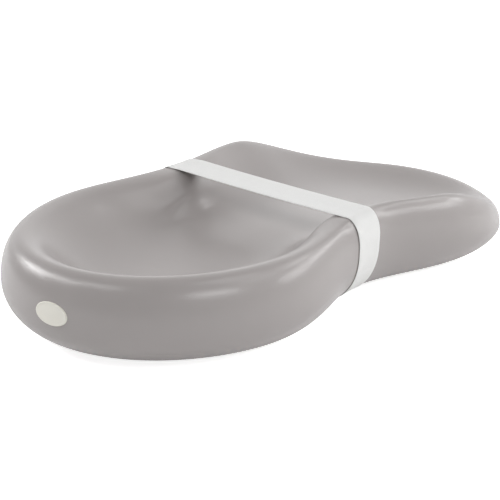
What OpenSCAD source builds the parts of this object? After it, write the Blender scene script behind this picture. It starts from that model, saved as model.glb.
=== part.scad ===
// Peanut-shaped changing pad: a foam core moulded in a tough skin, standing on a grippy base,
// with a webbing strap across the waist that opens at a hook-and-loop tab.
// Frame: +X runs from the head lobe to the foot lobe, +Z is up, the origin is on the floor
// under the middle of the pad. All lengths are in millimetres.

/* [Outline] */
// Overall length, head end to foot end
pad_l = 813; // [760:1:860]
// Overall width across the lobes
pad_w = 441; // [410:1:470]
// Width at the waist
waist_w = 367; // [340:1:385]
// Distance of the waist from the middle of the pad, towards the foot
waist_x = 8; // [-20:1:30]
// Reach of the drawn-in stretch on each side of the waist
waist_reach = 144; // [120:1:165]
// Squareness of the head end's curve, 2 being an ellipse
head_squareness = 2.67; // [2.3:0.01:3]
// Squareness of the foot end's curve, 2 being an ellipse
foot_squareness = 2.97; // [2.3:0.01:3.2]

/* [Wall and rim] */
// Height of the rim round the head lobe
head_rim_h = 116.5; // [105:0.5:130]
// Height of the rim at the foot end
foot_rim_h = 57.5; // [50:0.5:80]
// Extra height of the rim beside the waist
hump_rise = 11; // [0:0.5:18]
// Distance of the highest rim from the middle of the pad, towards the foot
hump_x = 45; // [20:1:80]
// Reach of the high rim on each side
hump_reach = 128; // [105:1:150]
// Place where the rim starts to fall towards the foot
fall_x = 136; // [90:1:160]
// Distance from the foot end at which the rim has fallen
fall_margin = 19; // [0:1:40]
// Height of the wall's widest line as a share of the rim's height
belly_share = 0.55; // [0.45:0.01:0.62]
// The same share beside the waist
waist_belly_share = 0.67; // [0.5:0.01:0.7]
// The same share at the foot end
foot_belly_share = 0.46; // [0.4:0.01:0.6]
// Distance of the highest widest line from the middle of the pad, towards the foot
belly_x = 30; // [0:1:60]
// Reach of the high widest line on each side
belly_reach = 110; // [90:1:150]
// Distance that the wall tucks in under its widest line
tuck = 63; // [50:1:72]
// Distance that the shoulder rounds in over the widest line
shoulder = 22; // [18:1:28]
// The same distance at the waist
waist_shoulder = 22; // [15:1:28]
// Distance of the basin's lip from the widest line, round the head
lip_in = 47; // [36:1:52]
// The same distance round the foot
foot_lip_in = 22; // [20:1:36]
// Place where the lip starts to draw near the widest line
narrow_x = -60; // [-80:1:-20]
// Length of the stretch in which it does so
narrow_l = 160; // [120:1:200]
// Softness of the lip's edge round the lobes
lip_soft = 3; // [2.5:0.5:7]

/* [Basin] */
// Height of the basin's floor under the head
head_floor_h = 52; // [40:1:60]
// Height of the basin's floor at the waist
waist_floor_h = 66; // [50:1:75]
// Height of the basin's floor at the foot end
foot_floor_h = 36; // [30:1:42]
// Steepness of the basin's wall in the lobes
lobe_steepness = 3; // [2.4:0.1:3.6]
// Steepness of the basin's wall at the waist
waist_steepness = 2.2; // [1.8:0.1:2.6]
// Softness of the lip's edge at the waist
waist_lip_soft = 9; // [5:0.5:12]
// Extra distance of the lip from the wall at the waist
waist_lip_shift = 8; // [0:1:14]

/* [Skin and base] */
// Thickness of the skin
skin_t = 3; // [2:0.1:4]
// Distance that the base stands below the skin
base_proud = 5; // [4.6:0.1:8]
// Width of one groove in the base's tread
tread_w = 4; // [2:0.5:8]
// Depth of the tread's grooves
tread_depth = 1.2; // [0.5:0.1:2]
// Distance from groove to groove
tread_pitch = 36; // [20:1:60]
// Clear margin between the tread and the base's edge
tread_margin = 14; // [8:1:30]

/* [Strap] */
// Width of the webbing
strap_w = 47; // [38:1:55]
// Thickness of the webbing
strap_t = 1.4; // [1:0.1:1.8]
// Distance of the strap from the middle of the pad, towards the foot
strap_x = -7; // [-30:1:20]
// Length of the hook and loop patches, down the far wall
patch_l = 46; // [34:1:52]
// Length of the tab's free end, past the patches
tab_tail = 10; // [4:1:16]
// Thickness of one patch
patch_t = 1.2; // [0.8:0.1:1.6]

/* [Strap anchors] */
// Length of an anchor plate, along the pad
anchor_l = 44; // [38:1:52]
// Width of an anchor plate
anchor_w = 24; // [18:1:30]
// Thickness of an anchor plate
anchor_t = 2.2; // [2:0.1:2.4]
// Distance between the two screws of a plate
screw_pitch = 26; // [20:1:30]
// Diameter of a screw's shank
screw_d = 4; // [3:0.5:5]
// Diameter of a screw's countersunk head
screw_head_d = 7.5; // [6.5:0.1:8]
// Length of a screw over all
screw_l = 15; // [13:0.5:16]
// Diameter of a tee nut's barrel
nut_barrel_d = 6; // [5.5:0.1:7]
// Diameter of a tee nut's flange
nut_flange_d = 15; // [12:0.5:18]
// Thickness of a tee nut's flange
nut_flange_t = 1.5; // [1:0.1:2]
// Distance of a plate from the base's edge
anchor_edge = 10; // [6:1:14]
// Length of the insert board, along the pad
board_l = 90; // [70:1:120]
// Margin of the insert board round the tee nuts
board_edge = 6; // [3:1:9]
// Thickness of the insert board
board_t = 7; // [6:0.5:10]

/* [Badge] */
// Length of the oval badge
badge_l = 50; // [36:1:56]
// Height of the oval badge
badge_h = 29; // [24:1:36]
// Distance that the badge stands out of the wall
badge_proud = 1; // [0.6:0.1:2]
// Depth of the badge's flat seat below the wall's curve
badge_seat = 2.4; // [1.8:0.1:2.6]
// Place of the badge round the pad, in degrees from the head end
badge_turn = 3; // [0:0.5:7]
// Angle of the badge up the wall, 90 being the widest line
badge_rise = 96; // [74:1:104]

/* [Hidden] */
$fn = 48;

pad_grey = [0.68, 0.66, 0.65];
foam_cream = [0.90, 0.86, 0.74];
webbing_white = [0.93, 0.93, 0.92];
rubber_grey = [0.30, 0.30, 0.31];
zinc = [0.75, 0.76, 0.78];
birch = [0.82, 0.70, 0.50];

half_l = pad_l/2;
// Clear gap between pieces that lie inside or beside each other
fit_gap = 0.3;
// Clear gap between the webbing and the wall that it lies on
strap_gap = 1;
// Clear gap between layers that are sewn or pressed together
layer_gap = 0.15;
// Gap in the webbing at a fold line
fold_gap = 0.5;
// Distance of the fold lines inside the rim's crown
fold_inset = 1;
// Clear gap round a tee nut's barrel, and between its thread and the screw
barrel_gap = 0.1;
thread_gap = 0.05;
// Distance that a tee nut's barrel ends short of the board's lower face
barrel_setback = 1;
// Room at the sides and the end of an anchor pocket
pocket_room = 1;
// Corner radii of the board and of the plates
board_corner = 10;
plate_corner = 4;
// Extra length of a cut, so that it clears the face that it opens
overrun = 1;
// Points round the outline, crowded at the waist by the easing angle
stations = 46;
station_ease = 14;
// Share of the lip's distance along the pad at which the basin's middle line runs
spine_share = 0.62;

// Smooth step from 0 to 1
function ease(t) = let (u = min(1, max(0, t))) u*u*(3 - 2*u);
// Bell curve of height 1 round a centre
function swell(x, centre, reach) = exp(-pow((x - centre)/reach, 2));
function pinch(x) = swell(x, waist_x, waist_reach);
function fall(x) = ease((x - fall_x)/(half_l - fall_margin - fall_x));

// Plan of the wall's widest line: two rounded ends, drawn in at the waist. The lobes' half width is
// the largest that keeps the plan within the pad's width, outside the waist's core
waist_core = 0.8;
function end_curve(x) =
    sqrt(max(0, 1 - pow(min(1, abs(x)/half_l), x < 0 ? head_squareness : foot_squareness)));
lobe_half = min([for (i = [1:199]) let (x = half_l*(i/100 - 1)) if (pinch(x) < waist_core)
    (pad_w/2 - end_curve(x)*pinch(x)*waist_w/2)/(end_curve(x)*(1 - pinch(x)))]);
function half_width(x) = end_curve(x)*(lobe_half*(1 - pinch(x)) + waist_w/2*pinch(x));
function rim_height(x) =
    head_rim_h + hump_rise*swell(x, hump_x, hump_reach) - (head_rim_h - foot_rim_h)*fall(x);
function floor_height(x) =
    head_floor_h + (waist_floor_h - head_floor_h)*pinch(x) - (head_floor_h - foot_floor_h)*fall(x);
function belly_height(x) = rim_height(x)*(belly_share
    + (waist_belly_share - belly_share)*swell(x, belly_x, belly_reach)
    + (foot_belly_share - belly_share)*fall(x));
function shoulder_at(x) = shoulder + (waist_shoulder - shoulder)*pinch(x);

// The outline by its turn in degrees, from the head end along the near side (-Y) and back
function eased(turn) = turn + station_ease*sin(2*turn);
function outline(turn) = let (a = eased(turn), x = -half_l*cos(a)) [x, -sign(sin(a))*half_width(x)];
function inward(turn) =
    let (d = outline(turn + 0.5) - outline(turn - 0.5)) [-d.y, d.x]/norm(d);
function inset(turn, d) = outline(turn) + d*inward(turn);

// How far the surface has dropped into the basin, at a distance past the lip
function lip_drop(x, depth, run, past) =
    let (soft = lip_soft + (waist_lip_soft - lip_soft)*pinch(x),
         steep = lobe_steepness + (waist_steepness - lobe_steepness)*pinch(x),
         rounded = soft*ln(1 + exp(past/soft)))
    depth*(1 - pow(max(0, 1 - rounded/run), steep));
function lip_at(x) = lip_in + (foot_lip_in - lip_in)*ease((x - narrow_x)/narrow_l)
    + waist_lip_shift*pinch(x);
function lip(turn) = inset(turn, lip_at(outline(turn).x));
function spine(turn) = [lip(turn).x*spine_share, 0];

// Points of the pad's surface: under the widest line, over it, and in the basin
function under_point(turn, a) =
    let (p = inset(turn, tuck*(1 - sin(a))), m = belly_height(outline(turn).x))
    [p.x, p.y, base_proud + (m - base_proud)*(1 - cos(a))];
function over_point(turn, a) =
    let (x = outline(turn).x, d = shoulder_at(x)*(1 - cos(a)), p = inset(turn, d), h = rim_height(x),
         m = belly_height(x), run = norm(spine(turn) - lip(turn)))
    [p.x, p.y, m + (h - m)*sin(a) - lip_drop(x, h - floor_height(p.x), run, d - lip_at(x))];
function basin_point(turn, s) =
    let (q = lip(turn), to = spine(turn) - q, p = q + s*to, x = outline(turn).x, h = rim_height(x))
    [p.x, p.y, h - lip_drop(x, h - floor_height(p.x), norm(to), s*norm(to))];
function spine_point(turn) = let (p = spine(turn)) [p.x, p.y, floor_height(p.x)];

turns = [for (i = [0:stations - 1]) 360*i/stations];
// Point of the wall by its angle, 90 being the widest line, and the same on the facet between the
// two nearest stations
function wall_point(turn, rise) = rise <= 90 ? under_point(turn, rise) : over_point(turn, rise - 90);
function facet_point(turn, rise) =
    let (i = floor(turn/360*stations), t = turn/360*stations - i,
         p = wall_point(turns[i], rise), q = wall_point(turns[(i + 1) % stations], rise))
    p + t*(q - p);
skin_rings = concat(
    [for (a = [0, 25, 48, 70, 90]) [for (turn = turns) under_point(turn, a)]],
    [for (a = [28, 54, 76]) [for (turn = turns) over_point(turn, a)]],
    [for (s = [0, 0.07, 0.19, 0.38, 0.66]) [for (turn = turns) basin_point(turn, s)]]);
skin_spine = [for (i = [0:stations/2]) spine_point(turns[i])];
ring_count = len(skin_rings);

// Outward normal at a ring's point, straight down on the lowest ring
function ring_normal(k, i) =
    let (round = skin_rings[k][(i + 1) % stations] - skin_rings[k][(i + stations - 1) % stations],
         up = skin_rings[min(k + 1, ring_count - 1)][i] - skin_rings[max(k - 1, 0)][i],
         n = cross(round, up))
    k == 0 ? [0, 0, -1] : n/norm(n);
// The pad's surface moved inwards by a depth, as one list of points, ring by ring
function shell_points(depth) = concat(
    [for (k = [0:ring_count - 1], i = [0:stations - 1]) skin_rings[k][i] - depth*ring_normal(k, i)],
    [for (p = skin_spine) p - [0, 0, depth]]);
points_per_surface = ring_count*stations + stations/2 + 1;

// Two triangles for each step between two rows of point numbers
function band(low, high) = [for (i = [0:len(low) - 1])
    let (j = (i + 1) % len(low), a = low[i], b = low[j], c = high[j], d = high[i])
    each [[a, c, b], [a, d, c]]];
function ring_row(k) = [for (i = [0:stations - 1]) k*stations + i];
spine_row = [for (i = [0:stations - 1]) ring_count*stations + min(i, stations - i)];
surface_faces = concat(
    [for (k = [0:ring_count - 2]) each band(ring_row(k), ring_row(k + 1))],
    band(ring_row(ring_count - 1), spine_row));
// Flat underside of the lowest ring, as rungs from the near side to the far side
underside_faces = [for (i = [0:stations/2 - 1])
    let (a = i, b = i + 1, c = stations - i - 1, d = (stations - i) % stations)
    each concat(b == c ? [] : [[a, b, c]], a == d ? [] : [[a, c, d]])];
function flipped(faces, shift) = [for (f = faces) [f[2] + shift, f[1] + shift, f[0] + shift]];

base_t = base_proud + skin_t;
core_depth = skin_t + fit_gap;

// The wall's section at one place along the pad, by distance from the middle line
function slope(x) = half_width(x + 0.5) - half_width(x - 0.5);
function section_half(x, d) =
    let (m = sqrt(1 + pow(slope(x), 2)), x0 = x - d*slope(x)/m)
    half_width(x0) - d/sqrt(1 + pow(slope(x0), 2));
function unit(v) = v/norm(v);
// Points [half, z] at a distance off the wall, under and over its widest line
function under_wall(x, a, off) =
    let (m = belly_height(x) - base_proud, n = unit([m*sin(a), -tuck*cos(a)]))
    [section_half(x, tuck*(1 - sin(a))), base_proud + m*(1 - cos(a))] + off*n;
function over_wall(x, a, off) =
    let (d = shoulder_at(x)*(1 - cos(a)), m = belly_height(x), r = rim_height(x) - m,
         n = unit([r*cos(a), shoulder_at(x)*sin(a)]))
    [section_half(x, d), m + r*sin(a) - rim_loss(x, d)] + off*n;
// Height that the rim's crown loses to the soft lip
function rim_loss(x, d) =
    lip_drop(x, rim_height(x) - floor_height(x), section_half(x, lip_at(x)), d - lip_at(x));
function crown_height(x) = rim_height(x) - rim_loss(x, shoulder_at(x));

// Strap: its edges, its fold lines over the two rims, and the layers in the anchor pockets
strap_edges = [strap_x - strap_w/2, strap_x + strap_w/2];
fold_half = min([for (x = strap_edges) section_half(x, shoulder_at(x))]) - fold_inset;
anchor_y = section_half(strap_x, tuck) - anchor_edge - anchor_w/2;
plate_bottom = 0.6;
strap_bottom = plate_bottom + anchor_t + fit_gap;
strap_top = strap_bottom + strap_t;
pocket_top = strap_top + fit_gap;
strap_end_half = anchor_y - anchor_w/2 - anchor_edge/2;
pocket_end_half = strap_end_half - pocket_room;

// Stretches of webbing at one edge, each a list of [half, z] from its lower end up
function foot_run(x, off) = [for (half = [strap_end_half, section_half(x, tuck)])
    [half, strap_top - (off - strap_gap)]];
function wall_run(x, off, top_angle) = concat(
    [for (a = [12, 22, 34, 48, 62, 76, 90]) under_wall(x, a, off)],
    [for (a = [15:15:90]) if (a <= top_angle) over_wall(x, a, off)]);
function crest(x, off) = [fold_half + fold_gap/2, crown_height(x) + off];
function near_run(x, off) = concat(foot_run(x, off), wall_run(x, off, 90), [crest(x, off)]);
function flap_run(x, off) = [for (side = [1, -1])
    [side*(fold_half - fold_gap/2), crown_height(x) + off]];

// Layers on the far wall, counted outwards, and how far down it each reaches
loop_off = strap_gap + strap_t + layer_gap;
hook_off = loop_off + patch_t + fit_gap;
tab_off = hook_off + patch_t + layer_gap;
patch_top_angle = 30;
shoulder_rise = rim_height(strap_x) - belly_height(strap_x);
patch_top_drop = shoulder_rise*(1 - sin(patch_top_angle));
function drop_angle(drop) = acos((drop - shoulder_rise)/(belly_height(strap_x) - base_proud));
patch_low_angle = drop_angle(patch_top_drop + patch_l);
tab_low_angle = drop_angle(patch_top_drop + patch_l + tab_tail);
function far_run(x, off, low_angle) = concat(
    [for (s = [0:0.25:1]) under_wall(x, low_angle + (90 - low_angle)*s, off)],
    [for (a = [15, patch_top_angle]) over_wall(x, a, off)]);
function strap_far_run(x, off) =
    concat(foot_run(x, off), wall_run(x, off, patch_top_angle));
function tab_run(x, off) = concat(
    far_run(x, tab_off + off, tab_low_angle),
    [for (a = [45:15:90])
        over_wall(x, a, strap_gap + off + (tab_off - strap_gap)*ease((90 - a)/45))],
    [crest(x, strap_gap + off)]);

// A strip of webbing from the [half, z] lists of its inner and outer faces at the two edges
module strip(inner, outer) {
    count = len(inner[0]);
    points = [for (k = [0:count - 1]) each [
        [strap_edges[0], -inner[0][k].x, inner[0][k].y],
        [strap_edges[0], -outer[0][k].x, outer[0][k].y],
        [strap_edges[1], -outer[1][k].x, outer[1][k].y],
        [strap_edges[1], -inner[1][k].x, inner[1][k].y]]];
    sides = [for (k = [0:count - 2], j = [0:3])
        let (a = 4*k + j, b = 4*k + (j + 1) % 4, c = b + 4, d = a + 4)
        each [[a, d, c], [a, c, b]]];
    last = 4*(count - 1);
    ends = [[0, 1, 2], [0, 2, 3], [last + 2, last + 1, last], [last + 3, last + 2, last]];
    polyhedron(points, concat(sides, ends));
}
module far_side() {
    mirror([0, 1, 0]) children();
}

// Places of the anchors, the screws and the badge
module at_anchors() {
    for (side = [-1, 1]) translate([strap_x, side*anchor_y, 0]) children();
}
module at_screws() {
    at_anchors() for (end = [-1, 1]) translate([end*screw_pitch/2, 0, 0]) children();
}
module at_badge() {
    climb = facet_point(badge_turn, badge_rise + 2) - facet_point(badge_turn, badge_rise - 2);
    outward = -inward(badge_turn);
    lean = atan2([climb.x, climb.y]*outward, climb.z);
    translate(facet_point(badge_turn, badge_rise))
        rotate([0, 0, atan2(outward.y, outward.x)]) rotate([0, 90 + lean, 0]) children();
}
// An oval whose long side lies level along the wall
module oval(margin) {
    polygon([for (a = [0:10:350])
        [(badge_h/2 + margin)*cos(a), (badge_l/2 + margin)*sin(a)]]);
}
module rounded_plate(length, width, thickness, corner) {
    translate([-length/2 + corner, -width/2, 0]) cube([length - 2*corner, width, thickness]);
    translate([-length/2, -width/2 + corner, 0]) cube([length, width - 2*corner, thickness]);
    for (x = [-1, 1], y = [-1, 1])
        translate([x*(length/2 - corner), y*(width/2 - corner), 0])
            cylinder(h = thickness, r = corner);
}

// Moulded foam body, hollowed underneath for the insert board
board_bottom = base_t + fit_gap;
board_top = board_bottom + board_t;
board_w = 2*anchor_y + nut_flange_d + 2*board_edge;
module foam_core() {
    color(foam_cream) difference() {
        polyhedron(shell_points(core_depth), concat(surface_faces, underside_faces));
        translate([strap_x - board_l/2 - fit_gap, -board_w/2 - fit_gap, 0])
            cube([board_l + 2*fit_gap, board_w + 2*fit_gap, board_top + fit_gap]);
        at_screws() cylinder(h = board_top + nut_flange_t + fit_gap, d = nut_flange_d + 2*fit_gap);
    }
}

// Skin all round the foam, open over the base, with a flat seat for the badge
module outer_skin() {
    color(pad_grey) difference() {
        polyhedron(concat(shell_points(0), shell_points(skin_t)), concat(surface_faces,
            flipped(surface_faces, points_per_surface),
            flipped(band(ring_row(0), [for (i = ring_row(0)) i + points_per_surface]), 0)));
        at_badge() translate([0, 0, -badge_seat]) linear_extrude(2*badge_seat) oval(fit_gap);
    }
}

// Grippy base with tread grooves and a pocket at each end of the strap
module tread() {
    clear_of_strap = strap_w/2 + tread_margin;
    for (i = [-floor(half_l/tread_pitch):floor(half_l/tread_pitch)]) {
        x = i*tread_pitch;
        reach = abs(x) + tread_w < half_l - tuck - tread_margin
            ? min(section_half(x - tread_w, tuck), section_half(x + tread_w, tuck)) - tread_margin : 0;
        if (reach > tread_pitch && abs(x - strap_x) > clear_of_strap)
            translate([x - tread_w/2, -reach, -overrun])
                cube([tread_w, 2*reach, overrun + tread_depth]);
    }
}
module base_panel() {
    color(rubber_grey) difference() {
        linear_extrude(base_t) polygon([for (turn = turns) inset(turn, tuck + fit_gap)]);
        tread();
        for (side = [0, 1]) mirror([0, side, 0])
            translate([strap_x - strap_w/2 - pocket_room, -pad_w/2, -overrun])
                cube([strap_w + 2*pocket_room, pad_w/2 - pocket_end_half, overrun + pocket_top]);
        at_screws() cylinder(h = base_t + overrun, d = screw_d + 2*fit_gap);
    }
}

// Board moulded into the foam, which carries the tee nuts
module insert_board() {
    color(birch) difference() {
        translate([strap_x, 0, board_bottom]) rounded_plate(board_l, board_w, board_t, board_corner);
        at_screws() cylinder(h = board_top + overrun, d = nut_barrel_d + 2*barrel_gap);
    }
}
module tee_nuts() {
    color(zinc) at_screws() difference() {
        union() {
            translate([0, 0, board_bottom + barrel_setback])
                cylinder(h = board_t - barrel_setback, d = nut_barrel_d);
            translate([0, 0, board_top]) cylinder(h = nut_flange_t, d = nut_flange_d);
        }
        cylinder(h = board_top + nut_flange_t + overrun, d = screw_d + 2*thread_gap);
    }
}

// Plates and countersunk screws that hold the strap's two ends in the base
head_h = (screw_head_d - screw_d)/2;
module anchor_plate() {
    difference() {
        translate([strap_x, -anchor_y, plate_bottom])
            rounded_plate(anchor_l, anchor_w, anchor_t, plate_corner);
        at_screws() translate([0, 0, plate_bottom]) countersunk(fit_gap);
    }
}
module countersunk(room) {
    translate([0, 0, -overrun]) cylinder(h = screw_l + overrun, d = screw_d + room);
    translate([0, 0, -room/2]) cylinder(h = head_h, d1 = screw_head_d + room, d2 = screw_d + room);
}
module anchor_plate_near() {
    color(zinc) anchor_plate();
}
module anchor_plate_far() {
    color(zinc) far_side() anchor_plate();
}
module anchor_screws() {
    color(zinc) at_screws() translate([0, 0, plate_bottom]) {
        cylinder(h = screw_l, d = screw_d);
        cylinder(h = head_h, d1 = screw_head_d, d2 = screw_d);
    }
}

// Webbing: two fixed ends up the walls, the flap across the waist, and the tab over the far rim
module strap_holes() {
    at_screws() cylinder(h = base_t, d = screw_d + 2*fit_gap);
}
module strap_near() {
    color(webbing_white) difference() {
        strip([for (x = strap_edges) near_run(x, strap_gap)],
            [for (x = strap_edges) near_run(x, strap_gap + strap_t)]);
        strap_holes();
    }
}
module strap_far() {
    color(webbing_white) difference() {
        far_side() strip([for (x = strap_edges) strap_far_run(x, strap_gap)],
            [for (x = strap_edges) strap_far_run(x, strap_gap + strap_t)]);
        strap_holes();
    }
}
module strap_flap() {
    color(webbing_white) strip([for (x = strap_edges) flap_run(x, strap_gap)],
        [for (x = strap_edges) flap_run(x, strap_gap + strap_t)]);
}
module strap_tab() {
    color(webbing_white) far_side() strip([for (x = strap_edges) tab_run(x, 0)],
        [for (x = strap_edges) tab_run(x, strap_t)]);
}
module patch(off) {
    color(webbing_white) far_side() strip([for (x = strap_edges) far_run(x, off, patch_low_angle)],
        [for (x = strap_edges) far_run(x, off + patch_t, patch_low_angle)]);
}
module loop_patch() {
    patch(loop_off);
}
module hook_patch() {
    patch(hook_off);
}

// Bare oval badge on the head end
module badge() {
    color("ivory") at_badge() translate([0, 0, -badge_seat + fit_gap])
        linear_extrude(badge_seat - fit_gap + badge_proud) oval(0);
}

foam_core();
outer_skin();
base_panel();
insert_board();
tee_nuts();
anchor_plate_near();
anchor_plate_far();
anchor_screws();
strap_near();
strap_far();
loop_patch();
badge();
strap_flap();
strap_tab();
hook_patch();
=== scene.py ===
"""Looks of the changing pad: a satin moulded skin over foam, a white webbing strap and its tab.

Shapes are worked out in millimetres in the frame of the part's source, and put into meshes in
metres. +X runs from the head lobe to the foot lobe, the near side is -Y and the floor is z = 0.
"""
import math

import bpy
import numpy as np
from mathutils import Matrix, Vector


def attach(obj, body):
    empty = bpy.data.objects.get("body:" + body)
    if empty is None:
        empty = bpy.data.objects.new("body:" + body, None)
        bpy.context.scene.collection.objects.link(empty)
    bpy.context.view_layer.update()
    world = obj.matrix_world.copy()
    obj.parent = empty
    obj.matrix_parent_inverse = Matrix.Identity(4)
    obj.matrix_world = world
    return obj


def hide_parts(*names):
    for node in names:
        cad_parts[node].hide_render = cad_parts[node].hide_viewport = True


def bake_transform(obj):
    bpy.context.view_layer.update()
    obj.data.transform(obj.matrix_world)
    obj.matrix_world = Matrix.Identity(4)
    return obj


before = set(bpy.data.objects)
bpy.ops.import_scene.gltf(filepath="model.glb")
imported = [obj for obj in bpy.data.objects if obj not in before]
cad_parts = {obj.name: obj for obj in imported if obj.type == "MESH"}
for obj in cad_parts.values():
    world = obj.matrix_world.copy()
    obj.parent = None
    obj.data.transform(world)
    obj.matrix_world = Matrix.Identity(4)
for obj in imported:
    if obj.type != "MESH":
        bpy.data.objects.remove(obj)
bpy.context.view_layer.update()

MM = 0.001

# Outline, wall and basin, as in the part's source
PAD_L, PAD_W, WAIST_W = 813.0, 441.0, 367.0
HALF_L = PAD_L / 2
WAIST_X, WAIST_REACH = 8.0, 144.0
HEAD_SQUARENESS, FOOT_SQUARENESS = 2.67, 2.97
HEAD_RIM, FOOT_RIM = 116.5, 57.5
HUMP_RISE, HUMP_X, HUMP_REACH = 11.0, 45.0, 128.0
FALL_X, FALL_MARGIN = 136.0, 19.0
BELLY_SHARE, WAIST_BELLY_SHARE, FOOT_BELLY_SHARE = 0.55, 0.67, 0.46
BELLY_X, BELLY_REACH, TUCK = 30.0, 110.0, 63.0
SHOULDER, WAIST_SHOULDER = 22.0, 22.0
LIP_IN, FOOT_LIP_IN, LIP_SOFT, WAIST_LIP_SHIFT = 47.0, 22.0, 3.0, 8.0
NARROW_X, NARROW_L = -60.0, 160.0
HEAD_FLOOR, WAIST_FLOOR, FOOT_FLOOR = 52.0, 66.0, 36.0
LOBE_STEEP = 3.0
SPINE_SHARE, STATION_EASE = 0.62, math.radians(14)
WAIST_CORE, PLAN_STEPS = 0.8, 100
BASE_PROUD, SKIN_T = 5.0, 3.0

# Wall and lip of the waist's basin, steeper and tighter than in the part's source
WAIST_STEEP, WAIST_LIP_SOFT = 4.4, 5.0
# Soft round of the head's rim: where it starts, how far along it grows, and what it adds to the
# rim's height, the shoulder, the lip's distance and the lip's roundness
ROUND_X, ROUND_REACH = -45.0, 185.0
ROUND_RISE, ROUND_SHOULDER, ROUND_LIP, ROUND_SOFT = 4.2, 11.0, 2.0, 5.0
# The same of the foot's rim
FOOT_ROUND_X, FOOT_ROUND_REACH = 60.0, 150.0
FOOT_ROUND_RISE, FOOT_ROUND_SHOULDER, FOOT_ROUND_LIP, FOOT_ROUND_SOFT = 3.0, 8.0, 12.0, 4.0
# Sag of the rim's inner half beside the strap: its depth, and where it starts and how far it grows
# on the strap's side and on the head's
SAG, SAG_X, SAG_REACH, SAG_HEAD_X, SAG_HEAD_REACH = 14.0, -18.0, 60.0, -230.0, 170.0
# Roll of the basin's far wall at the waist: its rise, and its place and reach along and across
ROLL_RISE, ROLL_X, ROLL_LENGTH, ROLL_Y, ROLL_WIDTH = 8.5, -45.0, 40.0, 107.0, 9.0

# Strap, patches and badge, as in the part's source
STRAP_W, STRAP_X = 47.0, -7.0
PATCH_L, PATCH_T, TAB_TAIL = 46.0, 1.2, 10.0
PATCH_TOP = math.radians(30)
ANCHOR_W, ANCHOR_EDGE = 24.0, 10.0
BADGE_L, BADGE_H = 50.0, 29.0
BADGE_TURN, BADGE_RISE = math.radians(3), math.radians(96)

# Grid of the pad's surface: stations round it, rings of each stretch, the power that crowds the
# basin's rings towards the rim, and the gap between the pad's flat and the base
STATIONS = 480
UNDER_STEPS, OVER_STEPS, BASIN_STEPS, BASIN_CROWDING = 18, 18, 46, 1.5
BASE_GAP = 0.1

# Webbing's thickness, its distance off the pad, how far its middle bows in, and its selvage
WEBBING_T, WEBBING_OFF, WEBBING_BOW = 1.2, 0.1, 0.5
SELVAGE_R, SELVAGE_STEPS, WEBBING_COLUMNS = 0.55, 7, 9
# Rows of the webbing in the base, under and over the wall's widest line, and across the basin,
# where they lie closer in a zone beside the fold
FOOT_ROWS, LOW_ROWS, TAB_LOW_ROWS, HIGH_ROWS = 12, 26, 20, 40
FOLD_ZONE, FOLD_ROWS, SPAN_ROWS = 14.0, 22, 40
# Bed that the strap presses into the foam: its depth, its fade past the rim and what it adds to
# the webbing's edges
STRAP_PRESS, PRESS_FADE, PRESS_EDGE = 0.6, 20.0, -1.0
# Lift of the flap off the rims' crowns at its two edges, its arch near the far crown, its lift on
# that crown, the share of the way at which it eases down to it, and its sag
FLAP_LIFT, FAR_ARCH = np.array([[1.3], [1.6]]), np.array([[0.4], [1.0]])
FAR_REST, FAR_EASE, FLAP_SAG = 0.6, 0.92, 1.2
# Distance that the webbing stands off the near shoulder, where it bends over the rim
NEAR_STAND = 1.6
# Share of that distance that the foam swells to, and the reach in half widths of the webbing
LIFT_SHARE, SWELL_REACH = 0.9, 1.5
# Gaps between cloth and patch and between the two patches, and the fold's distance in from the crown
LAYER_GAP, PRESS_GAP, FOLD_INSET = 0.15, 0.3, 1.0
# Distance along the pad that the strap's far end lies ahead of its near end, at the crown
SLANT = 4.0
# Lap of the tab over the flap, and the degrees past the crown over which it eases off the rim and,
# from a start, on to the patches
TAB_LAP, CROWN_EASE, PATCH_EASE_START, PATCH_EASE = 20.0, 16.0, 24.0, 32.0
# Distance that a patch's edges lie inside the webbing's
PATCH_TRIM = 1.0
# Sewn box round a patch: distance in from its edge, length of a stitch, gap and thread's radius
SEWN_IN, STITCH_L, STITCH_GAP, THREAD_R = 2.5, 3.0, 0.7, 0.35
# Stitch: in radii how far its middle arches up and its ends sink in, the least of its taper, and
# its steps along and sides round
STITCH_ARCH, STITCH_SINK, STITCH_TIP, STITCH_STEPS, STITCH_SIDES = 1.6, 0.9, 0.02, 8, 6
# Badge's profile from its middle out, as a share of its radius and a height over the wall: a flat
# face, a round raised border and an edge that runs down into the wall
BADGE_PROFILE = np.array([
    (0, 1.1), (0.25, 1.1), (0.5, 1.1), (0.7, 1.1), (0.80, 1.1), (0.84, 1.15), (0.87, 1.35), (0.90, 1.55),
    (0.93, 1.6), (0.96, 1.45), (0.98, 1.1), (1.0, 0.5), (1.0, -1.2)])
# Sides of the badge's oval, and half the height over which the wall's slope under it is taken
BADGE_SIDES, BADGE_SPAN = 72, 3.0
# Angles in degrees past which an edge is shaded sharp
SKIN_SHARP, WEBBING_SHARP, BADGE_SHARP = 60, 50, 70


def ease(t):
    """Smooth step: t squared times (3 - 2t), with t held between 0 and 1."""
    u = np.clip(t, 0.0, 1.0)
    return u * u * (3 - 2 * u)


def swell(x, centre, reach):
    """Bell of height 1: e to the power of minus ((x - centre) / reach) squared."""
    return np.exp(-((x - centre) / reach) ** 2)


def pinch(x):
    """Share of the waist in a place along the pad, a bell round the waist."""
    return swell(x, WAIST_X, WAIST_REACH)


def fall(x):
    """Share of the rim's fall to the foot end, a smooth step from its start to near the end."""
    return ease((x - FALL_X) / (HALF_L - FALL_MARGIN - FALL_X))


def end_curve(x):
    """Superellipse from end to end: the root of 1 - |x / half length| to the end's squareness."""
    power = np.where(x < 0, HEAD_SQUARENESS, FOOT_SQUARENESS)
    return np.sqrt(np.maximum(0, 1 - np.minimum(1, np.abs(x) / HALF_L) ** power))


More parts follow.
